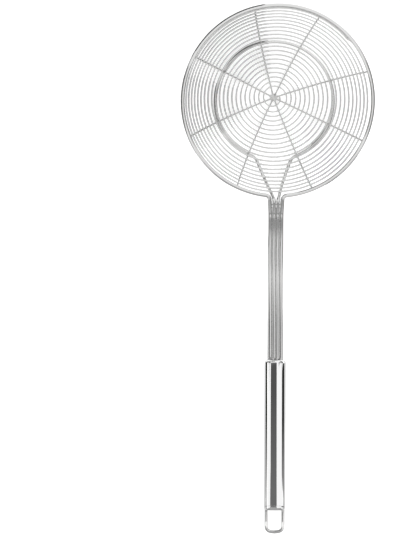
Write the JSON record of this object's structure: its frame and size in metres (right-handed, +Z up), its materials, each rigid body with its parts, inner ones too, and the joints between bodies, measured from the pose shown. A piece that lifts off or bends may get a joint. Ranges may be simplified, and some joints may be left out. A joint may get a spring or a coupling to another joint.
{
  "type": "spider skimmer",
  "caption": "Kitchen spider skimmer: a shallow round bowl of spirally wound wire on a long wire shaft, with a tubular metal handle and a hanging loop at its end.",
  "frame": {"origin": "middle of the flat underside of the bowl's middle, on the bowl's axis", "axes": "+Z up along the bowl's axis, out of its open side; +Y along the object, from the handle towards the bowl; +X across, to the right seen from above with the bowl pointing away"},
  "size_m": [0.1366, 0.3705, 0.0613],
  "materials": {
    "heavy_wire": "polished stainless steel wire",
    "net_wire": "bright stainless steel wire",
    "handle": "mirror-polished stainless steel"
  },
  "bodies": {
    "root": {"rim_wire": "heavy_wire", "support_wire": "heavy_wire", "spiral_wire": "net_wire", "cross_wire_1": "net_wire", "cross_wire_2": "net_wire", "cross_wire_3": "net_wire", "cross_wire_4": "net_wire", "handle_tube": "handle", "handle_end_cap": "handle", "hang_loop": "heavy_wire"}
  },
  "joints": []
}
